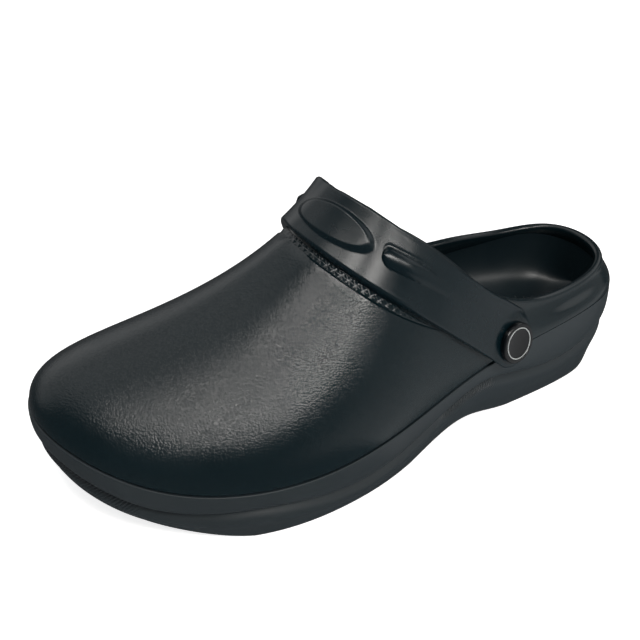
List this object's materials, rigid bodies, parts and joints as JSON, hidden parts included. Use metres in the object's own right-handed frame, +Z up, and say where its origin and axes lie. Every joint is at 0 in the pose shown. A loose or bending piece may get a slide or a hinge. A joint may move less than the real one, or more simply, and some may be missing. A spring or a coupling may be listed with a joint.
{
  "type": "moulded clog",
  "caption": "Left work clog moulded in dark foam: closed rounded toe, open heel collar, strap pinned over the instep and a fluted wedge sole with cross lugs.",
  "frame": {"origin": "on the floor under the middle of the shoe's overall box", "axes": "+Z up from the floor, -Y towards the toe, +X towards the outer side of this left foot"},
  "size_m": [0.1117, 0.2914, 0.1176],
  "materials": {
    "upper_foam": "satin, fine leather-like grain",
    "sole_foam": "matte",
    "insole_foam": "smooth satin",
    "strap_foam": "matte",
    "rivet_plastic": "satin with a white ring"
  },
  "bodies": {
    "root": {"upper": "upper_foam", "sole": "sole_foam", "insole": "insole_foam", "strap": "strap_foam", "rivet_lateral": "rivet_plastic", "rivet_medial": "rivet_plastic"}
  },
  "joints": []
}
